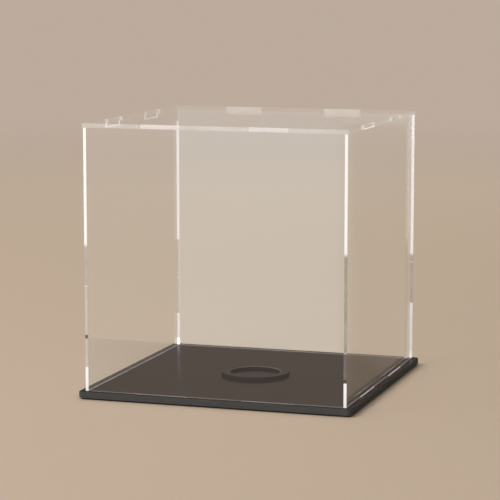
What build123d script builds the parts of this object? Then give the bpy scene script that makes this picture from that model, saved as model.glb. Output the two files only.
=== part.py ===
from build123d import *
import os

# Display case of laser-cut acrylic sheet: clear walls and top on a black base.
# Sizes are in millimetres. The origin is the middle of the footprint on the surface that the
# case stands on, +Z is up and the front faces -Y.

# Display space inside the walls
inner_width = 254.0
inner_depth = 254.0
inner_height = 254.0

# Sheets
wall_thickness = 3.0
top_thickness = 4.0
base_plate_thickness = 3.0
base_backing_thickness = 3.0

# How far the top and the base stand out past the walls
top_overhang = 0.8
base_overhang = 6.0
base_corner_radius = 5.0
base_edge_break = 0.3

# Tabs: two along each long edge of every wall, at equal distances from its middle
tab_spacing = 107.0
top_tab_width = 38.0
base_tab_width = 52.0
tab_side_clearance = 0.15
tab_end_clearance = 0.2

# Ring that seats a round item on the middle of the base
ring_outer_diameter = 68.0
ring_inner_diameter = 50.0
ring_height = 3.0
ring_seat_chamfer = 0.8

# Rubber pads under the base, placed by the distance from the base's edges to their centres
foot_diameter = 12.0
foot_height = 1.5
foot_edge_radius = 0.4
foot_inset = 18.0

# Sizes that follow from those above
outer_width = inner_width + 2 * wall_thickness
outer_depth = inner_depth + 2 * wall_thickness
base_width = outer_width + 2 * base_overhang
base_depth = outer_depth + 2 * base_overhang
backing_bottom = foot_height
plate_bottom = backing_bottom + base_backing_thickness
plate_top = plate_bottom + base_plate_thickness
wall_top = plate_top + inner_height
base_tab_height = base_plate_thickness - tab_end_clearance
front_wall_y = inner_depth / 2 + wall_thickness / 2
side_wall_x = inner_width / 2 + wall_thickness / 2

UPWARD = (Align.CENTER, Align.CENTER, Align.MIN)
DOWNWARD = (Align.CENTER, Align.CENTER, Align.MAX)

# Where each wall's middle line stands, seen from above, with its sheet along the local X axis
# and its outer face on the local -Y side
WALL_PLACES = {
    "front_panel": Pos(0, -front_wall_y, 0),
    "back_panel": Pos(0, front_wall_y, 0) * Rot(0, 0, 180),
    "left_panel": Pos(-side_wall_x, 0, 0) * Rot(0, 0, -90),
    "right_panel": Pos(side_wall_x, 0, 0) * Rot(0, 0, 90),
}
WALL_LENGTHS = {
    "front_panel": inner_width,
    "back_panel": inner_width,
    "left_panel": outer_depth,
    "right_panel": outer_depth,
}


def tab_centres():
    """Distances of a wall's two tabs from its middle, along the wall."""
    return (-tab_spacing / 2, tab_spacing / 2)


def wall_panel(name):
    """A wall sheet with its tabs. Front and back stand between the side walls."""
    sheet = Pos(0, 0, plate_top) * Box(WALL_LENGTHS[name], wall_thickness, inner_height, align=UPWARD)
    top_tab = Box(top_tab_width, wall_thickness, top_thickness, align=UPWARD)
    base_tab = Box(base_tab_width, wall_thickness, base_tab_height, align=DOWNWARD)
    for along in tab_centres():
        sheet += Pos(along, 0, wall_top) * top_tab
        sheet += Pos(along, 0, plate_top) * base_tab
    return WALL_PLACES[name] * sheet


def rounded_sheet(thickness):
    """A black base sheet with rounded corners, its lower face at Z = 0."""
    return extrude(RectangleRounded(base_width, base_depth, base_corner_radius), thickness)


def base_plate():
    """Upper base sheet, with a slot for each wall tab."""
    plate = rounded_sheet(base_plate_thickness)
    top_edges = plate.faces().sort_by(Axis.Z)[-1].outer_wire().edges()
    plate = Pos(0, 0, plate_bottom) * chamfer(top_edges, base_edge_break)
    slot = Box(
        base_tab_width + 2 * tab_side_clearance,
        wall_thickness + 2 * tab_side_clearance,
        base_plate_thickness,
        align=UPWARD,
    )
    for place in WALL_PLACES.values():
        for along in tab_centres():
            plate -= place * Pos(along, 0, plate_bottom) * slot
    return plate


def base_backing():
    """Lower base sheet, bonded under the slotted one."""
    backing = rounded_sheet(base_backing_thickness)
    bottom_edges = backing.faces().sort_by(Axis.Z)[0].outer_wire().edges()
    return Pos(0, 0, backing_bottom) * chamfer(bottom_edges, base_edge_break)


def top_panel():
    """Top sheet that rests on the walls, with a notch open to its edge over each wall tab."""
    panel_width = outer_width + 2 * top_overhang
    panel_depth = outer_depth + 2 * top_overhang
    panel = Pos(0, 0, wall_top) * Box(panel_width, panel_depth, top_thickness, align=UPWARD)
    notch_reach = wall_thickness / 2 + tab_side_clearance
    notch_depth = notch_reach + wall_thickness / 2 + top_overhang
    notch = Pos(0, notch_reach, 0) * Box(
        top_tab_width + 2 * tab_side_clearance,
        notch_depth,
        top_thickness,
        align=(Align.CENTER, Align.MAX, Align.MIN),
    )
    for place in WALL_PLACES.values():
        for along in tab_centres():
            panel -= place * Pos(along, 0, wall_top) * notch
    return panel


def display_ring():
    """Flat ring, chamfered inside where a round item rests on it."""
    ring = Cylinder(ring_outer_diameter / 2, ring_height, align=UPWARD)
    ring -= Cylinder(ring_inner_diameter / 2, ring_height, align=UPWARD)
    bore_rim = ring.edges().filter_by(GeomType.CIRCLE).group_by(Axis.Z)[-1].sort_by(SortBy.RADIUS)[0]
    return Pos(0, 0, plate_top) * chamfer(bore_rim, ring_seat_chamfer)


def foot(side, end):
    """Rubber pad under one corner, rounded where it meets the surface below."""
    pad = Cylinder(foot_diameter / 2, foot_height, align=UPWARD)
    pad = fillet(pad.edges().group_by(Axis.Z)[0], foot_edge_radius)
    return Pos(side * (base_width / 2 - foot_inset), end * (base_depth / 2 - foot_inset), 0) * pad


def build_nodes():
    """Every piece of the case by its node name."""
    nodes = {
        "base_plate": base_plate(),
        "base_backing": base_backing(),
        "display_ring": display_ring(),
    }
    for end_name, end in (("front", -1), ("back", 1)):
        for side_name, side in (("left", -1), ("right", 1)):
            nodes[f"foot_{end_name}_{side_name}"] = foot(side, end)
    for name in WALL_PLACES:
        nodes[name] = wall_panel(name)
    nodes["top_panel"] = top_panel()
    return nodes


os.makedirs("parts", exist_ok=True)
for node_name, node_solid in build_nodes().items():
    node_solid.label = node_name
    export_step(node_solid, f"parts/{node_name}.step")
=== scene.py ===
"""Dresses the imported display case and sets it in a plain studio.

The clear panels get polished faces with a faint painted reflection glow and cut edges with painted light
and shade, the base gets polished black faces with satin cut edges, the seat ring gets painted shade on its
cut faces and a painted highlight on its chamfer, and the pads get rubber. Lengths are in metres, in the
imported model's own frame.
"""

from __future__ import annotations

import logging
import math
from dataclasses import dataclass
from enum import Enum
from typing import Callable

import bmesh
import bpy
from bmesh.types import BMFace, BMesh
from bpy.types import ID, Material, Node, NodeOutputs, NodeSocket, NodeTree, Object
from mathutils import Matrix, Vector


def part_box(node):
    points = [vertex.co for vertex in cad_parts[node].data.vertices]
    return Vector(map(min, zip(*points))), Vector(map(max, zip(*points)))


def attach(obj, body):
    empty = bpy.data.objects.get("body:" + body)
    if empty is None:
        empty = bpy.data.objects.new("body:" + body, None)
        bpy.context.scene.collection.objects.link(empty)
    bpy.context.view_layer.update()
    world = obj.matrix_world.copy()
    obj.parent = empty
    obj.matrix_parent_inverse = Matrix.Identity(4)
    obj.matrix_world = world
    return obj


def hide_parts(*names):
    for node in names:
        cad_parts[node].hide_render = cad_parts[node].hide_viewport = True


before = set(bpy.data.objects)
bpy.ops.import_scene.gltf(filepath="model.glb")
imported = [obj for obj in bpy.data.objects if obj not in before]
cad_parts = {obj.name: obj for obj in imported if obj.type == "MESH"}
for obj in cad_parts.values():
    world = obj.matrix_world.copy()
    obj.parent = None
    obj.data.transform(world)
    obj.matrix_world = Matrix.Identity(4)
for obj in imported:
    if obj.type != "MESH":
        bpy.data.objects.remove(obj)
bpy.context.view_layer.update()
log = logging.getLogger("display_case")

MM = 0.001
ROW_AXES = (Vector((1, 0, 0)), Vector((0, 1, 0)), Vector((0, 0, 1)))
ACRYLIC_INDEX = 1.49
# Share of a face's normal along an axis, above which the face looks along it
ALONG_AXIS = 0.99
UNLIT = (0, 0, 0, 1)
Colour = tuple[float, float, float]
Point = tuple[float, float, float]
Span = tuple[float, float]


class SocketKind(Enum):
    """Kinds of socket that an effect group offers."""

    VALUE = "NodeSocketFloat"
    COLOUR = "NodeSocketColor"
    VECTOR = "NodeSocketVector"


class SheetNormal(Enum):
    """Row axis that a sheet's polished faces look along."""

    SIDEWAYS = 0
    FORWARD = 1
    UPWARD = 2


class FaceKind(Enum):
    """Parts of a clear sheet's surface that are finished differently, and patches and lines of painted
    light and shade on it.
    """

    POLISHED = 0
    RIM = 1
    FRONT_END = 2
    BACK_END = 3
    TAB = 4
    TAB_END = 5
    BASE_TAB = 6
    BLOOM = 7
    OUTLINE = 8
    SEAM = 9
    VEIL = 10
    FOOT = 11
    FOOT_TAB = 12
    INNER = 13


class Slot(Enum):
    """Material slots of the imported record."""

    CLEAR = "clear_acrylic"
    BLACK = "black_acrylic"
    RUBBER = "foot_rubber"


Sockets = dict[SocketKind, tuple[str, ...]]
SheetMaterials = dict[FaceKind, Material]


class NodeBench:
    """Adds and links nodes in one shader tree."""

    # Numbers of a Mix node's share and colour sockets
    mix_inputs = (0, 6, 7)
    mix_output = 2
    # Where a band's mask has faded, as a share of its half width
    band_fall = 1.4
    noise_roughness = 0.55

    def __init__(self, tree: NodeTree) -> None:
        """Keeps the node tree of a material, world or group."""
        self.tree = tree

    def add(self, kind: str, values: dict[str, object] | None = None, **settings: object) -> Node:
        """Adds a node, sets its plain properties and feeds its inputs.

        Args:
            kind: Blender's node type name.
            values: What feeds the inputs, by their names.
            **settings: Properties of the node by name.

        Returns:
            The new node.
        """
        node = self.tree.nodes.new(kind)
        for name, value in settings.items():
            setattr(node, name, value)
        self.fill(node, values or {})
        return node

    def feed(self, source: object, target: NodeSocket) -> None:
        """Links a socket to a target, or sets the target's own value.

        Args:
            source: An output socket, or a number, colour or vector.
            target: The input socket.
        """
        if isinstance(source, NodeSocket):
            self.tree.links.new(source, target)
        else:
            target.default_value = source

    def fill(self, node: Node, values: dict[str, object]) -> None:
        """Feeds several inputs of a node, given by name."""
        for name, value in values.items():
            self.feed(value, node.inputs[name])

    def axes(self, vector: object) -> NodeOutputs:
        """Splits a vector into outputs named X, Y and Z."""
        return self.add("ShaderNodeSeparateXYZ", {"Vector": vector}).outputs

    def maths(self, operation: str, *terms: object, clamp: bool = False) -> NodeSocket:
        """Adds a Math node.

        Args:
            operation: Name of the operation.
            *terms: Sockets or numbers.
            clamp: Whether the result is held between 0 and 1.

        Returns:
            The result's socket.
        """
        node = self.add("ShaderNodeMath", operation=operation, use_clamp=clamp)
        for term, target in zip(terms, node.inputs):
            self.feed(term, target)
        return node.outputs[0]

    def ramp(self, value: object, low: object, high: object, to_low: object = 0.0,
             to_high: object = 1.0) -> NodeSocket:
        """Maps a value smoothly from one range to another.

        Args:
            value: Socket or number to map.
            low: Value that gives to_low.
            high: Value that gives to_high.
            to_low: Result at the low end.
            to_high: Result at the high end.

        Returns:
            The mapped value's socket.
        """
        values = {"Value": value, "From Min": low, "From Max": high, "To Min": to_low, "To Max": to_high}
        node = self.add("ShaderNodeMapRange", values, interpolation_type="SMOOTHSTEP")
        return node.outputs["Result"]

    def blend(self, share: object, first: object, second: object) -> NodeSocket:
        """Mixes two colours.

        Args:
            share: Share of the second colour.
            first: Socket or colour.
            second: Socket or colour.

        Returns:
            The mixed colour's socket.
        """
        node = self.add("ShaderNodeMix", data_type="RGBA")
        for number, source in zip(self.mix_inputs, (share, first, second)):
            self.feed(source, node.inputs[number])
        return node.outputs[self.mix_output]

    def band(self, value: object, middle: object, half_width: float) -> NodeSocket:
        """Masks a narrow range round a value, with soft sides."""
        away = self.maths("ABSOLUTE", self.maths("SUBTRACT", value, middle))
        return self.ramp(away, half_width, half_width * self.band_fall, 1.0, 0.0)

    def noise(self, place: object, scale: object, detail: float = 3.0) -> NodeSocket:
        """Adds a noise texture of so many lumps per metre and octaves of detail."""
        values = {"Vector": place, "Scale": scale, "Detail": detail, "Roughness": self.noise_roughness}
        return self.add("ShaderNodeTexNoise", values).outputs["Fac"]

    def show_mix(self, share: object, first: Node, second: Node, output: str) -> None:
        """Sends a mix of two shaders to the tree's output.

        Args:
            share: Share of the second shader.
            first: The first shader.
            second: The second shader.
            output: Name of the output node.
        """
        mix = self.add("ShaderNodeMixShader")
        for source, target in zip((share, first.outputs[0], second.outputs[0]), mix.inputs):
            self.feed(source, target)
        self.feed(mix.outputs[0], self.tree.nodes[output].inputs["Surface"])


class EffectGroup:
    """A shader effect that is built once and placed in each material that uses it."""

    title = ""
    inputs: Sockets = {}
    outputs: Sockets = {}

    def __init__(self) -> None:
        """Builds the node group with its named sockets."""
        self.group = bpy.data.node_groups.new(self.title, "ShaderNodeTree")
        for way, sockets in (("INPUT", self.inputs), ("OUTPUT", self.outputs)):
            for kind, names in sockets.items():
                for name in names:
                    self.group.interface.new_socket(name, in_out=way, socket_type=kind.value)
        bench = NodeBench(self.group)
        given = bench.add("NodeGroupInput").outputs
        result = bench.add("NodeGroupOutput").inputs
        for name, source in self.wire(bench, given).items():
            bench.feed(source, result[name])

    def wire(self, bench: NodeBench, given: NodeOutputs) -> dict[str, NodeSocket]:
        """Makes the effect's nodes and names what feeds each output."""
        raise NotImplementedError

    def place(self, bench: NodeBench, **values: object) -> NodeOutputs:
        """Puts the group into a material. The inputs' names have underscores for spaces."""
        named = {name.replace("_", " "): value for name, value in values.items()}
        return bench.add("ShaderNodeGroup", named, node_tree=self.group).outputs


class HandlingMarks(EffectGroup):
    """Faint wiped smudges and dust on a polished sheet."""

    title = "handling_marks"
    inputs = {SocketKind.VECTOR: ("Place",),
              SocketKind.VALUE: ("Clean Gloss", "Smudged Gloss", "Smudge Scale", "Dust")}
    outputs = {SocketKind.VALUE: ("Gloss", "Dust Mask")}
    smudge_range = (0.52, 0.78)
    speck_scale = 1400.0
    speck_range = (0.70, 0.76)

    def wire(self, bench: NodeBench, given: NodeOutputs) -> dict[str, NodeSocket]:
        """Makes smudges from slow noise and dust from a fine one.

        Args:
            bench: Bench on the group's tree.
            given: The group's input sockets by name.

        Returns:
            The socket that feeds each output, by name.
        """
        lumps = bench.noise(given["Place"], given["Smudge Scale"], detail=4.0)
        smudge = bench.ramp(lumps, *self.smudge_range)
        gloss = bench.ramp(smudge, 0.0, 1.0, given["Clean Gloss"], given["Smudged Gloss"])
        specks = bench.noise(given["Place"], self.speck_scale, detail=1.0)
        dust = bench.maths("MULTIPLY", bench.ramp(specks, *self.speck_range), given["Dust"])
        return {"Gloss": gloss, "Dust Mask": dust}


class SheetWave(EffectGroup):
    """Slow waves that cast sheet keeps in its polished faces."""

    title = "sheet_wave"
    inputs = {SocketKind.VECTOR: ("Place",), SocketKind.VALUE: ("Scale",)}
    outputs = {SocketKind.VALUE: ("Height",)}

    def wire(self, bench: NodeBench, given: NodeOutputs) -> dict[str, NodeSocket]:
        """Makes the waves from smooth noise."""
        return {"Height": bench.noise(given["Place"], given["Scale"], detail=1.0)}


class EdgeLight(EffectGroup):
    """Painted light and shade on a cut edge: light and dim stretches along its length, a thin light line,
    faint wisps, a dark spot and a glow near the foot.
    """

    title = "edge_light"
    inputs = {
        SocketKind.VECTOR: ("Place",),
        SocketKind.VALUE: ("Upper Start", "Upper End", "Mark Height", "Dark Height", "Foot End",
                           "Foot Share", "Dim Level", "Bright Level", "Foot Spark"),
        SocketKind.COLOUR: ("Bright Colour", "Dim Colour", "Low Colour"),
    }
    outputs = {SocketKind.COLOUR: ("Colour", "Glow"), SocketKind.VALUE: ("Cover", "Height")}
    upper_fade = 6 * MM
    foot_fade = 1 * MM
    low_fade = 2 * MM
    # A thin line of painted light across the edge, and faint wisps of painted light from noise
    light_line_half_width = 0.5 * MM
    light_line_share = 0.45
    wisp_scale = 55.0
    wisp_range = (0.35, 0.7)
    wisp_share = 0.12
    # A dark spot of painted shade across the edge
    spot_half_width = 1.5 * MM
    spot_cover = 0.8
    spot_colour = (0.07, 0.065, 0.06, 1)
    saw_scale = 900.0
    saw_distortion = 2.0
    # Painted glow that grows towards the foot
    spark_reach = (10.5 * MM, 16.5 * MM)

    def wire(self, bench: NodeBench, given: NodeOutputs) -> dict[str, NodeSocket]:
        """Makes the stretches from the height above the floor and a little noise.

        Args:
            bench: Bench on the group's tree.
            given: The group's input sockets by name.

        Returns:
            The socket that feeds each output, by name.
        """
        height = bench.axes(given["Place"])["Z"]
        upper_end = bench.maths("ADD", given["Upper Start"], self.upper_fade)
        upper = bench.ramp(height, given["Upper Start"], upper_end)
        fade_end = bench.maths("ADD", given["Upper End"], self.upper_fade)
        under_end = bench.ramp(height, given["Upper End"], fade_end, 1.0, 0.0)
        foot_end = bench.maths("ADD", given["Foot End"], self.foot_fade)
        foot = bench.ramp(height, given["Foot End"], foot_end, given["Foot Share"], 0.0)
        bright = bench.maths("MAXIMUM", bench.maths("MULTIPLY", upper, under_end), foot)
        # Below the painted light line the dim stretch takes the low colour
        light_line_end = bench.maths("ADD", given["Mark Height"], self.low_fade)
        low = bench.ramp(height, given["Mark Height"], light_line_end, 1.0, 0.0)
        light_line = bench.band(height, given["Mark Height"], self.light_line_half_width)
        cloud = bench.noise(given["Place"], self.wisp_scale, detail=2.0)
        wisp = bench.ramp(cloud, *self.wisp_range, 0.0, self.wisp_share)
        faint = bench.maths("MAXIMUM", wisp, bench.maths("MULTIPLY", light_line, self.light_line_share))
        lit = bench.maths("MAXIMUM", bright, faint)
        # Painted shade: a dark spot at the dark height
        spot = bench.band(height, given["Dark Height"], self.spot_half_width)
        level = bench.ramp(lit, 0.0, 1.0, given["Dim Level"], given["Bright Level"])
        stretch = bench.blend(low, given["Dim Colour"], given["Low Colour"])
        pale = bench.blend(lit, stretch, given["Bright Colour"])
        colour = bench.blend(spot, pale, self.spot_colour)
        cover = bench.maths("MAXIMUM", level, bench.maths("MULTIPLY", spot, self.spot_cover))
        waves = {"Vector": given["Place"], "Scale": self.saw_scale, "Distortion": self.saw_distortion}
        saw = bench.add("ShaderNodeTexWave", waves, bands_direction="Z")
        near_foot = bench.ramp(height, *self.spark_reach, 1.0, 0.0)
        spark = bench.maths("MULTIPLY", near_foot, given["Foot Spark"])
        lit_colour = bench.blend(level, UNLIT, colour)
        shine = {"Vector": lit_colour, "Scale": bench.maths("ADD", spark, 1.0)}
        glow = bench.add("ShaderNodeVectorMath", shine, operation="SCALE").outputs[0]
        return {"Colour": colour, "Glow": glow, "Cover": cover, "Height": saw.outputs["Fac"]}


class CutFaceMask(EffectGroup):
    """Tells a sheet's upright cut faces and its chamfers from its polished level faces."""

    title = "cut_face_mask"
    inputs = {SocketKind.VALUE: ("Polished Slope", "Chamfer Slope")}
    outputs = {SocketKind.VALUE: ("Cut", "Chamfer")}

    def wire(self, bench: NodeBench, given: NodeOutputs) -> dict[str, NodeSocket]:
        """Reads how far the face leans from level.

        Args:
            bench: Bench on the group's tree.
            given: The group's input sockets by name.

        Returns:
            The socket that feeds each output, by name.
        """
        normal = bench.add("ShaderNodeNewGeometry").outputs["Normal"]
        lean = bench.maths("ABSOLUTE", bench.axes(normal)["Z"])
        cut = bench.maths("LESS_THAN", lean, given["Polished Slope"])
        sloped = bench.maths("GREATER_THAN", lean, given["Chamfer Slope"])
        return {"Cut": cut, "Chamfer": bench.maths("MULTIPLY", cut, sloped)}


class UnevenVeil(EffectGroup):
    """A painted light veil whose density drifts a little along the sheet."""

    title = "uneven_veil"
    inputs = {SocketKind.VECTOR: ("Place",), SocketKind.VALUE: ("Cover", "Unevenness"),
              SocketKind.COLOUR: ("Tint",)}
    outputs = {SocketKind.COLOUR: ("Colour",), SocketKind.VALUE: ("Cover",)}
    drift_scale = 35.0
    drift_range = (0.3, 0.7)
    pale_share = 0.3
    pale_colour = (0.95, 0.95, 0.95, 1)

    def wire(self, bench: NodeBench, given: NodeOutputs) -> dict[str, NodeSocket]:
        """Makes the drift from slow noise.

        Args:
            bench: Bench on the group's tree.
            given: The group's input sockets by name.

        Returns:
            The socket that feeds each output, by name.
        """
        lumps = bench.noise(given["Place"], self.drift_scale, detail=2.0)
        drift = bench.ramp(lumps, *self.drift_range)
        thinned = bench.maths("SUBTRACT", 1.0, bench.maths("MULTIPLY", given["Unevenness"], drift))
        cover = bench.maths("MULTIPLY", given["Cover"], thinned)
        share = bench.maths("MULTIPLY", drift, self.pale_share)
        colour = bench.blend(share, given["Tint"], self.pale_colour)
        return {"Colour": colour, "Cover": cover}


@dataclass(frozen=True)
class Effects:
    """The effect groups that the finishes share."""

    marks: HandlingMarks
    wave: SheetWave
    edge_light: EdgeLight
    cut_face: CutFaceMask
    veil: UnevenVeil


def new_material(name: str) -> tuple[Material, NodeBench, Node]:
    """Starts a node material.

    Args:
        name: The material's name.

    Returns:
        The material, a bench on its tree and its Principled BSDF.
    """
    material = bpy.data.materials.new(name)
    material.use_nodes = True
    bench = NodeBench(material.node_tree)
    return material, bench, material.node_tree.nodes["Principled BSDF"]


def object_place(bench: NodeBench) -> NodeSocket:
    """Adds the object's own coordinates, which move with the piece."""
    return bench.add("ShaderNodeTexCoord").outputs["Object"]


def mirrored_rays(bench: NodeBench) -> NodeSocket:
    """Masks rays that a glossy surface has sent on and that haven't passed a clear sheet."""
    rays = bench.add("ShaderNodeLightPath").outputs
    return bench.maths("SUBTRACT", rays["Is Glossy Ray"], rays["Is Transmission Ray"], clamp=True)


def bump(bench: NodeBench, height: object, strength: float, distance: float, shader: Node) -> None:
    """Feeds a relief into a shader's normal. Its distance is the relief's real height."""
    node = bench.add("ShaderNodeBump", {"Strength": strength, "Distance": distance, "Height": height})
    bench.feed(node.outputs["Normal"], shader.inputs["Normal"])


@dataclass(frozen=True)
class ClearFace:
    """Polished face of clear acrylic, with a thin clear coat that carries its gloss and a faint painted
    reflection glow.
    """

    name: str = "clear_face"
    tint: Colour = (0.985, 0.99, 0.988)
    dust_tint: Colour = (0.9, 0.9, 0.9)
    index: float = 1.0
    coat_weight: float = 0.85
    smudged_share: float = 0.8
    smudge_scale: float = 11.0
    dust: float = 0.2
    facing_fresnel: float = 0.08
    slanted_fresnel: float = 0.22
    # Painted reflection: an even glow over the face that stands in for light it reflects
    reflection_glow: Colour = (1.0, 0.98, 0.96)
    reflection_glow_strength: float = 0.006
    # On a face that fades, the painted reflection glow thins out towards the right end and the foot
    fades: bool = False
    fade_side: Span = (0.045, 0.075)
    fade_foot: Span = (0.0085, 0.0105)
    full_top: Span = (0.244, 0.258)
    faded_share: float = 0.1
    light_passed: float = 0.96

    def material(self, effects: Effects) -> Material:
        """Makes the material.

        Args:
            effects: The shared effect groups.

        Returns:
            The finished material.
        """
        material, bench, shader = new_material(self.name)
        marks = effects.marks.place(
            bench, Place=object_place(bench), Clean_Gloss=self.coat_weight,
            Smudged_Gloss=self.coat_weight * self.smudged_share, Smudge_Scale=self.smudge_scale,
            Dust=self.dust)
        behind = bench.add("ShaderNodeNewGeometry").outputs["Backfacing"]
        # Seen from its back the face has the index of the way out, so both sides gleam alike
        turned = 1 / ACRYLIC_INDEX - ACRYLIC_INDEX
        index = bench.maths("MULTIPLY_ADD", behind, turned, ACRYLIC_INDEX)
        slant = bench.add("ShaderNodeFresnel", {"IOR": index})
        share = bench.ramp(slant.outputs["Fac"], self.facing_fresnel, self.slanted_fresnel)
        rays = bench.add("ShaderNodeLightPath").outputs
        lighting = bench.maths("MAXIMUM", rays["Is Shadow Ray"], rays["Is Diffuse Ray"])
        lighting = bench.maths("MAXIMUM", lighting, mirrored_rays(bench))
        passed = bench.maths("MULTIPLY", lighting, self.light_passed)
        bench.fill(shader, {
            "Base Color": bench.blend(marks["Dust Mask"], (*self.tint, 1), (*self.dust_tint, 1)),
            "Roughness": 0.0,
            "Transmission Weight": 1.0,
            "IOR": self.index,
            "Coat Weight": bench.maths("MULTIPLY", marks["Gloss"], share),
            "Coat IOR": ACRYLIC_INDEX,
            "Coat Roughness": 0.0,
            # Painted reflection glow
            "Emission Color": self.reflection_glow_colour(bench),
            "Emission Strength": self.reflection_glow_strength,
            "Alpha": bench.maths("SUBTRACT", 1.0, passed),
        })
        return material

    def reflection_glow_colour(self, bench: NodeBench) -> object:
        """Gives the colour of the painted reflection glow. On a face that fades it shows from the front
        only, and thins out towards the right end and the foot.

        Args:
            bench: Bench on the material's tree.

        Returns:
            The colour, or the socket that gives it where the face fades.
        """
        if not self.fades:
            return (*self.reflection_glow, 1)
        place = bench.axes(object_place(bench))
        behind = bench.add("ShaderNodeNewGeometry").outputs["Backfacing"]
        front = bench.maths("SUBTRACT", 1.0, behind)
        inward = bench.ramp(place["X"], *self.fade_side, 1.0, self.faded_share)
        spread = bench.maths("MAXIMUM", inward, bench.ramp(place["Z"], *self.full_top))
        raised = bench.ramp(place["Z"], *self.fade_foot)
        seen = bench.maths("MULTIPLY", front, bench.maths("MULTIPLY", spread, raised))
        return bench.blend(seen, UNLIT, (*self.reflection_glow, 1))


@dataclass(frozen=True)
class CutEdge:
    """Cut edge of clear sheet, with the light it gathers painted on in stretches along its length."""

    name: str
    # Colours and levels of the painted light and shade along the edge
    bright: Colour
    upper_start: float
    light_line_height: float
    foot_end: float
    dark_height: float = 0.0
    upper_end: float = 1.0
    foot_share: float = 1.0
    dim: Colour = (0.42, 0.4, 0.37)
    low: Colour = (0.55, 0.53, 0.5)
    dim_level: float = 0.75
    bright_level: float = 1.0
    foot_spark: float = 0.0
    glow: float = 0.14
    roughness: float = 0.22
    saw_strength: float = 0.15
    saw_depth: float = 0.02 * MM

    def material(self, effects: Effects) -> Material:
        """Makes the material.

        Args:
            effects: The shared effect groups.

        Returns:
            The finished material.
        """
        material, bench, shader = new_material(self.name)
        light = effects.edge_light.place(
            bench, Place=object_place(bench), Upper_Start=self.upper_start, Upper_End=self.upper_end,
            Mark_Height=self.light_line_height, Dark_Height=self.dark_height, Foot_End=self.foot_end,
            Foot_Share=self.foot_share, Dim_Level=self.dim_level, Bright_Level=self.bright_level,
            Foot_Spark=self.foot_spark, Bright_Colour=(*self.bright, 1), Dim_Colour=(*self.dim, 1),
            Low_Colour=(*self.low, 1))
        bench.fill(shader, {
            "Base Color": light["Colour"], "Emission Color": light["Glow"], "Alpha": light["Cover"],
            "Emission Strength": self.glow, "Roughness": self.roughness, "IOR": ACRYLIC_INDEX})
        bump(bench, light["Height"], self.saw_strength, self.saw_depth, shader)
        return material


@dataclass(frozen=True)
class FaintEdge:
    """Cut or bonded face of clear sheet that shows as a light veil, painted on as a pale cover with a
    glow.
    """

    name: str
    cover: float
    glow: float
    tint: Colour = (0.85, 0.83, 0.8)
    unevenness: float = 0.35
    roughness: float = 0.35

    def material(self, effects: Effects) -> Material:
        """Makes the material.

        Args:
            effects: The shared effect groups.

        Returns:
            The finished material.
        """
        material, bench, shader = new_material(self.name)
        veil = effects.veil.place(
            bench, Place=object_place(bench), Cover=self.cover, Unevenness=self.unevenness,
            Tint=(*self.tint, 1))
        bench.fill(shader, {
            "Base Color": veil["Colour"], "Emission Color": veil["Colour"], "Alpha": veil["Cover"],
            "Emission Strength": self.glow, "Roughness": self.roughness, "IOR": ACRYLIC_INDEX})
        return material


Finish = ClearFace | CutEdge | FaintEdge


@dataclass(frozen=True)
class PolishedBlack:
    """Black acrylic with polished faces and satin cut edges."""

    name: str = Slot.BLACK.value
    face: Colour = (0.0115, 0.0058, 0.004)
    cut: Colour = (0.068, 0.070, 0.070)
    # Chamfer colour: the same as the cut faces, or lighter where a chamfer gets a painted highlight
    chamfer: Colour = (0.068, 0.070, 0.070)
    dust_tint: Colour = (0.1, 0.095, 0.09)
    roughness: float = 0.5
    coat_weight: float = 0.24
    smudged_share: float = 0.9
    smudge_scale: float = 16.0
    dust: float = 0.03
    cut_coat_weight: float = 0.05
    polished_slope: float = 0.85
    chamfer_slope: float = 0.4
    coat_roughness: float = 0.16
    wave_scale: float = 22.0
    wave_strength: float = 0.3
    wave_depth: float = 0.05 * MM

    def material(self, effects: Effects) -> Material:
        """Makes the material.

        Args:
            effects: The shared effect groups.

        Returns:
            The finished material.
        """
        material, bench, shader = new_material(self.name)
        shape = effects.cut_face.place(
            bench, Polished_Slope=self.polished_slope, Chamfer_Slope=self.chamfer_slope)
        cut = shape["Cut"]
        marks = effects.marks.place(
            bench, Place=object_place(bench), Clean_Gloss=self.coat_weight,
            Smudged_Gloss=self.coat_weight * self.smudged_share, Smudge_Scale=self.smudge_scale,
            Dust=self.dust)
        sheet = bench.blend(cut, (*self.face, 1), (*self.cut, 1))
        sheet = bench.blend(shape["Chamfer"], sheet, (*self.chamfer, 1))
        bench.fill(shader, {
            "Base Color": bench.blend(marks["Dust Mask"], sheet, (*self.dust_tint, 1)),
            "Roughness": self.roughness,
            "Specular IOR Level": 0.0,
            "Coat Weight": bench.ramp(cut, 0.0, 1.0, marks["Gloss"], self.cut_coat_weight),
            "Coat IOR": ACRYLIC_INDEX,
            "Coat Roughness": self.coat_roughness,
        })
        wave = effects.wave.place(bench, Place=object_place(bench), Scale=self.wave_scale)
        bump(bench, wave["Height"], self.wave_strength, self.wave_depth, shader)
        return material


@dataclass(frozen=True)
class FootRubber:
    """Matte black rubber with a fine grain."""

    colour: Colour = (0.02, 0.02, 0.02)
    worn: Colour = (0.045, 0.044, 0.042)
    roughness: float = 0.75
    patch_scale: float = 260.0
    patch_range: Span = (0.45, 0.7)
    grain_scale: float = 2600.0
    grain_strength: float = 0.4
    grain_depth: float = 0.05 * MM

    def material(self, effects: Effects) -> Material:
        """Makes the material.

        Args:
            effects: The shared effect groups; not used.

        Returns:
            The finished material.
        """
        material, bench, shader = new_material(Slot.RUBBER.value)
        place = object_place(bench)
        grain = bench.noise(place, self.grain_scale, detail=2.0)
        patches = bench.ramp(bench.noise(place, self.patch_scale), *self.patch_range)
        bench.feed(bench.blend(patches, (*self.colour, 1), (*self.worn, 1)), shader.inputs["Base Color"])
        bench.feed(self.roughness, shader.inputs["Roughness"])
        bump(bench, grain, self.grain_strength, self.grain_depth, shader)
        return material


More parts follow.
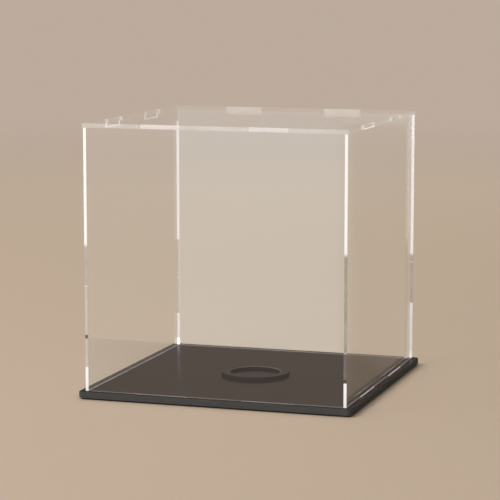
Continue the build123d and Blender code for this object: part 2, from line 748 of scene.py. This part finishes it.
@dataclass
class ClearPanel:
    """One clear sheet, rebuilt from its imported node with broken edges."""

    node: str
    body: str
    finishes: SheetMaterials
    air_gap: float = 0.03 * MM
    edge_break: float = 0.12 * MM
    merge_distance: float = 0.001 * MM
    crease_degrees: float = 30.0
    flat_degrees: float = 1.0
    rejoin_degrees: float = 0.1

    def build(self) -> Object:
        """Copies the node's shape, draws it in by the air gap and breaks its edges.

        Returns:
            The new piece, whose faces carry the number of their FaceKind.
        """
        shape = bmesh.new()
        shape.from_mesh(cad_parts[self.node].data)
        bmesh.ops.remove_doubles(shape, verts=shape.verts, dist=self.merge_distance)
        bmesh.ops.dissolve_limit(shape, angle_limit=math.radians(self.flat_degrees), verts=shape.verts,
                                 edges=shape.edges)
        bmesh.ops.recalc_face_normals(shape, faces=shape.faces)
        self.draw_in(shape)
        creases = [edge for edge in shape.edges
                   if edge.calc_face_angle(0.0) > math.radians(self.crease_degrees)]
        bmesh.ops.bevel(shape, geom=creases, offset=self.edge_break, segments=1,
                        affect="EDGES", profile=0.5)
        self.mark_faces(shape)
        bmesh.ops.dissolve_limit(shape, angle_limit=math.radians(self.rejoin_degrees), verts=shape.verts,
                                 edges=shape.edges, delimit={"MATERIAL"})
        bmesh.ops.recalc_face_normals(shape, faces=shape.faces)
        mesh = bpy.data.meshes.new(self.node + "_clear")
        shape.to_mesh(mesh)
        shape.free()
        return bpy.data.objects.new(self.node + "_clear", mesh)

    def draw_in(self, shape: BMesh) -> None:
        """Moves every face inward by the air gap, so that bonded sheets don't share a face.

        Args:
            shape: The panel's mesh with square corners.
        """
        shifts = []
        for vertex in shape.verts:
            shift = Vector()
            for axis in ROW_AXES:
                facing = [face.normal.dot(axis) for face in vertex.link_faces]
                strongest = max(facing, key=abs)
                if abs(strongest) > ALONG_AXIS:
                    shift -= axis * math.copysign(self.air_gap, strongest)
            shifts.append(shift)
        for vertex, shift in zip(shape.verts, shifts):
            vertex.co += shift

    def mark_faces(self, shape: BMesh) -> None:
        """Numbers each face with its kind, for a level sheet.

        Args:
            shape: The panel's mesh.
        """
        outermost = max(vertex.co.y for vertex in shape.verts) - self.edge_break
        for face in shape.faces:
            place = face.calc_center_median()
            if abs(face.normal.z) > ALONG_AXIS:
                kind = FaceKind.POLISHED
            elif place.y < -outermost:
                kind = FaceKind.FRONT_END
            elif place.y > outermost:
                kind = FaceKind.BACK_END
            else:
                kind = FaceKind.RIM
            face.material_index = kind.value
            face.smooth = False

    def make(self) -> None:
        """Builds, dresses and places the piece."""
        piece = self.build()
        bpy.context.scene.collection.objects.link(piece)
        used = sorted({polygon.material_index for polygon in piece.data.polygons})
        for number in used:
            piece.data.materials.append(self.finishes[FaceKind(number)])
        for polygon in piece.data.polygons:
            polygon.material_index = used.index(polygon.material_index)
        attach(piece, self.body)
        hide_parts(self.node)
        log.info("%s: %d faces, rides on %s", piece.name, len(piece.data.polygons), self.body)


@dataclass
class WallPanel(ClearPanel):
    """An upright clear sheet with tabs that stand in the top panel and in the base."""

    normal: SheetNormal = SheetNormal.FORWARD
    bloom_depth: float = 0.0
    veil_depth: float = 0.0
    outline_width: float = 0.0
    outline_height: float = 0.7 * MM
    sill_height: float = 0.0
    seam_width: float = 0.0
    seam_gap: float = 1.6 * MM
    foot_height: float = 0.0
    foot_outside: bool = True
    upright_slope: float = 0.3

    def mark_faces(self, shape: BMesh) -> None:
        """Splits the polished faces at the tabs and numbers each face with its kind.

        Args:
            shape: The panel's mesh.
        """
        along = SheetNormal.FORWARD.value - self.normal.value
        root_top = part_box("top_panel")[0].z - self.air_gap
        root_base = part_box("base_plate")[1].z + self.air_gap
        near, far = self.tab_reach(shape, along, lambda height: height > root_top + self.edge_break)
        base_near, base_far = self.tab_reach(
            shape, along, lambda height: height < root_base - self.edge_break)
        end = max(vertex.co[along] for vertex in shape.verts)
        seam_end = end - self.seam_gap
        seam_start = seam_end - self.seam_width
        bloom_end = root_top - self.bloom_depth
        veil_end = bloom_end - self.veil_depth
        sill_end = root_top + self.sill_height
        foot_end = root_base + self.foot_height
        # Cut the faces where the painted light patches, outlines, seam and foot lines begin and end
        self.split(shape, SheetNormal.UPWARD.value, (
            root_top, root_base, bloom_end, bloom_end + self.outline_height, veil_end, sill_end, foot_end))
        if self.bloom_depth:
            self.split(shape, along, (near, near + self.outline_width, far - self.outline_width, far),
                       mirrored=True)
        if self.foot_height:
            self.split(shape, along, (base_near, base_far), mirrored=True)
        if self.seam_width:
            self.split(shape, along, (seam_start, seam_end))
        for face in shape.faces:
            place = face.calc_center_median()
            out = abs(place[along])
            across = abs(face.normal[self.normal.value]) > ALONG_AXIS
            outside = place[self.normal.value] * face.normal[self.normal.value] > 0
            by_tab = near < out < far
            if place.z < root_base:
                kind = FaceKind.BASE_TAB
            elif place.z > root_top and not across:
                kind = self.cut_kind(face, FaceKind.TAB_END)
            elif place.z > root_top:
                # A painted light line along the foot of the tabs' outer face, on the front half
                lit_sill = outside and place.z < sill_end and place[along] < 0
                kind = FaceKind.OUTLINE if lit_sill else FaceKind.TAB
            elif not across:
                forward = FaceKind.FRONT_END if face.normal.y < 0 else FaceKind.BACK_END
                upright = forward if self.normal is SheetNormal.SIDEWAYS else FaceKind.RIM
                kind = self.cut_kind(face, upright)
            elif self.seam_width and seam_start < place[along] < seam_end:
                kind = FaceKind.SEAM
            # Painted light line along the wall's foot, brighter at the base tabs
            elif place.z < foot_end and outside is self.foot_outside:
                kind = FaceKind.FOOT_TAB if base_near < out < base_far else FaceKind.FOOT
            # Painted light patch under a tab, and a fainter painted veil below it
            elif by_tab and place.z > bloom_end:
                kind = self.bloom_kind(outside, min(out - near, far - out), place.z - bloom_end)
            elif by_tab and place.z > veil_end:
                kind = FaceKind.VEIL
            else:
                kind = FaceKind.POLISHED if outside else FaceKind.INNER
            face.material_index = kind.value
            face.smooth = False

    def tab_reach(self, shape: BMesh, along: int, on_tab: Callable[[float], bool]) -> Span:
        """Measures how far from the sheet's middle its tabs start and end."""
        reach = [abs(vertex.co[along]) for vertex in shape.verts if on_tab(vertex.co.z)]
        return min(reach), max(reach)

    def bloom_kind(self, outside: bool, from_side: float, from_end: float) -> FaceKind:
        """Tells the outline of the light patch under a tab from its middle.

        Args:
            outside: Whether the face is the sheet's outer one.
            from_side: Distance from the patch's nearer side.
            from_end: Distance from the patch's lower end.

        Returns:
            The face's kind.
        """
        if not self.outline_width:
            return FaceKind.BLOOM
        outlined = from_side < self.outline_width or from_end < self.outline_height
        if outside and outlined:
            return FaceKind.OUTLINE
        return FaceKind.BLOOM if outside else FaceKind.POLISHED

    def cut_kind(self, face: BMFace, upright: FaceKind) -> FaceKind:
        """Tells an upright cut face from a level one."""
        return upright if abs(face.normal.z) < self.upright_slope else FaceKind.RIM

    def split(self, shape: BMesh, axis: int, places: tuple[float, ...], mirrored: bool = False) -> None:
        """Cuts the sheet's surface across a row axis and keeps both sides.

        Args:
            shape: The panel's mesh.
            axis: Number of the row axis.
            places: The places along that axis.
            mirrored: Whether to cut at the same distances on the other side too.
        """
        for place in places:
            for side in (1, -1) if mirrored else (1,):
                bmesh.ops.bisect_plane(
                    shape, geom=shape.verts[:] + shape.edges[:] + shape.faces[:],
                    dist=self.merge_distance, plane_co=ROW_AXES[axis] * (side * place),
                    plane_no=ROW_AXES[axis])


class ClearFinishes:
    """The finishes of the clear sheets, with their painted light and shade, each made into a material
    once.
    """

    # Painted light on cut faces: pale veils with a glow on the rims, and bright outline lines round the
    # tabs
    rim = FaintEdge("clear_rim", cover=0.25, glow=0.3)
    side_rim = FaintEdge("side_rim", cover=0.08, glow=0.3)
    outline = FaintEdge("tab_outline_highlight", cover=0.75, glow=1.0)

    def __init__(self, effects: Effects) -> None:
        """Keeps the effect groups and starts with no material made."""
        self.effects = effects
        self.made: dict[Finish, Material] = {}

    def dress(self, face: ClearFace, own: dict[FaceKind, Finish]) -> SheetMaterials:
        """Makes the materials of one sheet.

        Args:
            face: Finish of the polished faces.
            own: The sheet's own finishes, which take the place of the shared ones.

        Returns:
            Material of each kind of face.
        """
        polished = (FaceKind.POLISHED, FaceKind.INNER, FaceKind.TAB, FaceKind.BLOOM, FaceKind.VEIL)
        cut = (FaceKind.RIM, FaceKind.TAB_END, FaceKind.BASE_TAB, FaceKind.FRONT_END, FaceKind.BACK_END)
        kinds = {**dict.fromkeys(polished, face), **dict.fromkeys(cut, self.rim),
                 FaceKind.OUTLINE: self.outline, **own}
        for finish in kinds.values():
            if finish not in self.made:
                self.made[finish] = finish.material(self.effects)
        return {kind: self.made[finish] for kind, finish in kinds.items()}

    def front(self) -> SheetMaterials:
        """Finishes of the front wall, whose tabs get the light they catch painted on, and whose rim gets a
        fainter painted veil.
        """
        face = ClearFace("front_face", tint=(0.972, 0.976, 0.976), reflection_glow=(1.0, 0.86, 0.76),
                         reflection_glow_strength=0.018)
        return self.dress(face, {
            FaceKind.TAB: FaintEdge("front_tab", tint=(0.76, 0.72, 0.71), cover=0.85, glow=0.08),
            FaceKind.RIM: FaintEdge("front_rim", cover=0.13, glow=0.25),
        })

    def back(self) -> SheetMaterials:
        """Finishes of the back wall, with painted light patches at its tabs, a painted reflection glow on
        its inner face and painted light on the corner seam.
        """
        # Painted reflection: a strong glow on the inner face, seen from the front, that thins out towards
        # the right end
        inner = ClearFace("back_inner_face", reflection_glow=(0.66, 0.89, 1.0), reflection_glow_strength=0.105, fades=True)
        # Painted light patches at the tabs
        bloom = FaintEdge("back_tab", tint=(0.8, 0.83, 0.86), cover=0.12, glow=0.65)
        # The bonded corner joint, drawn with painted light: a faint upper stretch and a glow at the foot
        seam_light = CutEdge("corner_seam_painted_light", bright=(0.9, 0.86, 0.84), upper_start=0.1285, light_line_height=0.0,
                       foot_end=0.0088, dim_level=0.03, bright_level=0.14, foot_spark=30.0, glow=0.25)
        return self.dress(ClearFace(), {
            FaceKind.TAB: bloom,
            FaceKind.BLOOM: bloom,
            FaceKind.INNER: inner,
            # A fainter painted light patch below the tab patches
            FaceKind.VEIL: FaintEdge("back_tab_veil", tint=(0.8, 0.83, 0.86), cover=0.065, glow=0.65),
            FaceKind.SEAM: seam_light,
        })

    def left(self) -> SheetMaterials:
        """Finishes of the left wall, with painted light and dark stretches on its two ends and a painted
        light line along its foot.
        """
        # Painted light and shade along both ends: bright stretches, a light line, a dark spot and a glow
        # at the back end's foot
        front_end = CutEdge("left_front_end", bright=(0.9, 0.91, 0.92), upper_start=0.1454,
                            light_line_height=0.1095, dark_height=0.0605, foot_end=0.0305)
        back_end = CutEdge("left_back_end", bright=(0.82, 0.78, 0.82), dim=(0.62, 0.55, 0.5),
                           low=(0.6, 0.55, 0.52), upper_start=0.1185, upper_end=0.246,
                           light_line_height=0.08, foot_end=0.0415, dim_level=0.3, bright_level=0.9,
                           foot_spark=14.0, glow=0.17)
        # Painted light line along the wall's foot
        foot = FaintEdge("left_foot", tint=(0.75, 0.6, 0.5), cover=0.85, glow=0.2)
        return self.dress(ClearFace("left_face", reflection_glow=(0.6, 0.85, 1.0), reflection_glow_strength=0.01), {
            FaceKind.FRONT_END: front_end,
            FaceKind.BACK_END: back_end,
            FaceKind.RIM: self.side_rim,
            FaceKind.FOOT: foot,
            FaceKind.FOOT_TAB: foot,
        })

    def right(self) -> SheetMaterials:
        """Finishes of the right wall, with painted light on its two ends and painted light lines along its
        foot, brightest at the base tabs.
        """
        # Painted light and shade along both ends
        front_end = CutEdge("right_front_end", bright=(0.87, 0.89, 0.92), dim=(0.29, 0.28, 0.23),
                            low=(0.17, 0.16, 0.155), upper_start=0.1469, light_line_height=0.0591,
                            dark_height=0.0325, foot_end=0.0315)
        back_end = CutEdge("right_back_end", bright=(0.84, 0.85, 0.87), dim=(0.34, 0.3, 0.29),
                           low=(0.34, 0.3, 0.29), upper_start=0.1135, light_line_height=0.109,
                           foot_end=0.0655, foot_share=0.8, dim_level=0.65, foot_spark=1.2, glow=0.25)
        return self.dress(ClearFace("right_face", coat_weight=0.5, reflection_glow=(1.0, 0.88, 0.8)), {
            FaceKind.FRONT_END: front_end,
            FaceKind.BACK_END: back_end,
            FaceKind.RIM: self.side_rim,
            # Painted light on the base tabs and along the wall's foot, brightest at the base tabs
            FaceKind.BASE_TAB: FaintEdge("right_base_tab", tint=(0.6, 0.55, 0.5), cover=0.2, glow=0.1),
            FaceKind.FOOT: FaintEdge("right_foot", tint=(0.55, 0.47, 0.41), cover=0.7, glow=0.15),
            FaceKind.FOOT_TAB: FaintEdge("right_foot_tab", tint=(0.9, 0.84, 0.77), cover=0.95, glow=0.5),
        })

    def top(self) -> SheetMaterials:
        """Finishes of the top panel, whose front edge gets more painted light than its side and back
        edges.
        """
        # The side and back edges get a faint painted glow, the front edge a paler painted cover
        side_edge = FaintEdge("top_side_edge", cover=0.08, glow=0.4)
        return self.dress(ClearFace("top_face", coat_weight=0.3, reflection_glow_strength=0.002), {
            FaceKind.FRONT_END: FaintEdge("top_front_edge", tint=(0.85, 0.89, 0.86), cover=0.4, glow=0.08),
            FaceKind.BACK_END: side_edge,
            FaceKind.RIM: side_edge,
        })


@dataclass
class Cover:
    """The four clear walls, bonded at their upright corners."""

    body: str = "cover"
    # Sizes of the painted light patches, outlines, seam strip and foot lines on the walls
    back_bloom: float = 3.7 * MM
    back_veil: float = 8.0 * MM
    left_bloom: float = 4.4 * MM
    right_sill: float = 0.8 * MM
    outline_width: float = 2.6 * MM
    seam_width: float = 3.2 * MM
    foot_height: float = 1.1 * MM

    def make(self, finishes: ClearFinishes) -> None:
        """Builds and dresses the walls.

        Args:
            finishes: Finishes of the clear sheets.
        """
        sideways = SheetNormal.SIDEWAYS
        walls = (
            WallPanel("front_panel", self.body, finishes.front()),
            WallPanel("back_panel", self.body, finishes.back(), bloom_depth=self.back_bloom,
                      veil_depth=self.back_veil, seam_width=self.seam_width),
            WallPanel("left_panel", self.body, finishes.left(), normal=sideways,
                      bloom_depth=self.left_bloom, outline_width=self.outline_width,
                      foot_height=self.foot_height, foot_outside=False),
            WallPanel("right_panel", self.body, finishes.right(), normal=sideways,
                      sill_height=self.right_sill, foot_height=self.foot_height),
        )
        for wall in walls:
            wall.make()


@dataclass
class Lid:
    """The clear top panel, notched over the wall tabs."""

    body: str = "top"
    node: str = "top_panel"

    def make(self, finishes: ClearFinishes) -> None:
        """Builds and dresses the top panel."""
        ClearPanel(self.node, self.body, finishes.top()).make()


@dataclass
class Base:
    """Black base sheets, seat ring and rubber pads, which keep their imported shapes."""

    sheet_nodes: tuple[str, ...] = ("base_plate", "base_backing")
    ring_nodes: tuple[str, ...] = ("display_ring",)
    foot_nodes: tuple[str, ...] = (
        "foot_front_left", "foot_front_right", "foot_back_left", "foot_back_right")
    black: PolishedBlack = PolishedBlack()
    # The seat ring's cut faces are painted darker than the base's, as painted shade, and its chamfer
    # lighter, as a painted highlight
    ring_black_shade_and_highlight: PolishedBlack = PolishedBlack(
        "ring_black_acrylic_shade_and_highlight", cut=(0.018, 0.017, 0.017), chamfer=(0.09, 0.087, 0.083))
    rubber: FootRubber = FootRubber()

    def make(self, effects: Effects) -> None:
        """Gives each piece of the base its finish.

        Args:
            effects: The shared effect groups.
        """
        dressed = ((self.sheet_nodes, self.black), (self.ring_nodes, self.ring_black_shade_and_highlight),
                   (self.foot_nodes, self.rubber))
        for nodes, finish in dressed:
            material = finish.material(effects)
            for name in nodes:
                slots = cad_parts[name].data.materials
                slots.clear()
                slots.append(material)
                log.info("%s: dressed in %s", name, material.name)


def put(name: str, data: ID, place: Point = (0.0, 0.0, 0.0), target: Point | None = None) -> Object:
    """Puts a new object into the scene.

    Args:
        name: The object's name.
        data: Its mesh, lamp or lens.
        place: Where it stands.
        target: The point that a lamp or lens looks at.

    Returns:
        The object.
    """
    item = bpy.data.objects.new(name, data)
    item.location = place
    if target:
        toward = Vector(target) - Vector(place)
        item.rotation_euler = toward.to_track_quat("-Z", "Y").to_euler()
    bpy.context.scene.collection.objects.link(item)
    return item


@dataclass(frozen=True)
class SoftBox:
    """A square studio lamp aimed at the case."""

    name: str
    place: Point
    size: float
    power: float
    colour: Colour = (1.0, 0.98, 0.95)


@dataclass
class Studio:
    """Pale floor, soft lamps, plain surroundings and the camera."""

    backdrop: Colour = (0.505, 0.41, 0.335)
    floor: Colour = (0.5, 0.4, 0.31)
    front_glow: Colour = (0.86, 0.94, 1.0)
    front_glow_strength: float = 1.3
    front_glow_range: Span = (-0.6, -2.0)
    ambient: Colour = (0.92, 0.90, 0.87)
    bright_side: Point = (-0.62, -0.68, 0.39)
    dark_strength: float = 0.06
    bright_strength: float = 1.0
    bounces: int = 24
    floor_sides: int = 96
    floor_radius: float = 6.0
    fade_range: Span = (0.9, 3.5)
    aim: Point = (0.0, 0.0, 0.13)
    lamps: tuple[SoftBox, ...] = (
        SoftBox("key_lamp", (-1.5, -1.8, 1.9), size=1.6, power=46.0),
        SoftBox("fill_lamp", (2.0, -1.2, 1.6), size=1.6, power=2.0),
        SoftBox("rim_lamp", (-0.6, 2.2, 1.8), size=1.4, power=14.0),
    )
    eye: Point = (0.6260, -1.9604, 0.4165)
    target: Point = (-0.00568, 0.0, 0.1326)
    lens_mm: float = 150.37
    sensor_mm: float = 36.0

    def make(self) -> None:
        """Builds the whole studio."""
        scene = bpy.context.scene
        scene.view_settings.view_transform = "Standard"
        scene.cycles.transmission_bounces = self.bounces
        scene.cycles.transparent_max_bounces = self.bounces
        scene.cycles.max_bounces = self.bounces
        self.make_floor()
        self.make_surroundings()
        for lamp in self.lamps:
            self.make_lamp(lamp)
        self.make_camera()

    def make_floor(self) -> None:
        """Makes a round floor that fades into the backdrop far from the case."""
        shape = bmesh.new()
        bmesh.ops.create_circle(
            shape, cap_ends=True, segments=self.floor_sides, radius=self.floor_radius)
        mesh = bpy.data.meshes.new("floor")
        shape.to_mesh(mesh)
        shape.free()
        floor = put("floor", mesh)
        material, bench, shader = new_material("floor")
        bench.fill(shader, {"Base Color": (*self.floor, 1), "Roughness": 1.0, "Specular IOR Level": 0.0})
        place = object_place(bench)
        distance = bench.add("ShaderNodeVectorMath", {"Vector": place}, operation="LENGTH")
        far = bench.ramp(distance.outputs["Value"], *self.fade_range)
        ahead = bench.ramp(bench.axes(place)["Y"], *self.front_glow_range)
        mirrored = bench.maths("MULTIPLY", ahead, mirrored_rays(bench))
        plain = bench.add("ShaderNodeEmission", {
            "Color": bench.blend(mirrored, (*self.backdrop, 1), (*self.front_glow, 1)),
            "Strength": bench.ramp(mirrored, 0.0, 1.0, 1.0, self.front_glow_strength),
        })
        bench.show_mix(far, shader, plain, "Material Output")
        mesh.materials.append(material)

    def make_surroundings(self) -> None:
        """Makes the world: the backdrop's colour where it is seen, soft ambient light elsewhere."""
        world = bpy.data.worlds.new("studio")
        bpy.context.scene.world = world
        world.use_nodes = True
        bench = NodeBench(world.node_tree)
        rays = bench.add("ShaderNodeLightPath").outputs
        seen = bench.maths("MAXIMUM", rays["Is Camera Ray"], rays["Is Glossy Ray"])
        seen = bench.maths("MAXIMUM", seen, rays["Is Transmission Ray"])
        shown = bench.add("ShaderNodeBackground", {"Color": (*self.backdrop, 1)})
        toward = bench.add("ShaderNodeVectorMath", operation="DOT_PRODUCT")
        bench.feed(bench.add("ShaderNodeTexCoord").outputs["Generated"], toward.inputs[0])
        bench.feed(self.bright_side, toward.inputs[1])
        light = world.node_tree.nodes["Background"]
        strength = bench.ramp(toward.outputs["Value"], -1.0, 1.0, self.dark_strength, self.bright_strength)
        bench.fill(light, {"Color": (*self.ambient, 1), "Strength": strength})
        bench.show_mix(seen, light, shown, "World Output")

    def make_lamp(self, box: SoftBox) -> None:
        """Makes one soft box.

        Args:
            box: Its place, size and power.
        """
        lamp = bpy.data.lights.new(box.name, "AREA")
        lamp.size = box.size
        lamp.energy = box.power
        lamp.color = box.colour
        put(box.name, lamp, box.place, self.aim)

    def make_camera(self) -> None:
        """Makes the camera at the reference view."""
        lens = bpy.data.cameras.new("camera")
        lens.lens = self.lens_mm
        lens.sensor_width = self.sensor_mm
        bpy.context.scene.camera = put("camera", lens, self.eye, self.target)


def main() -> None:
    """Dresses the case and builds the studio round it."""
    logging.basicConfig(level=logging.INFO, format="%(name)s %(message)s")
    effects = Effects(HandlingMarks(), SheetWave(), EdgeLight(), CutFaceMask(), UnevenVeil())
    finishes = ClearFinishes(effects)
    Base().make(effects)
    Cover().make(finishes)
    Lid().make(finishes)
    Studio().make()


if __name__ == "__main__":
    main()
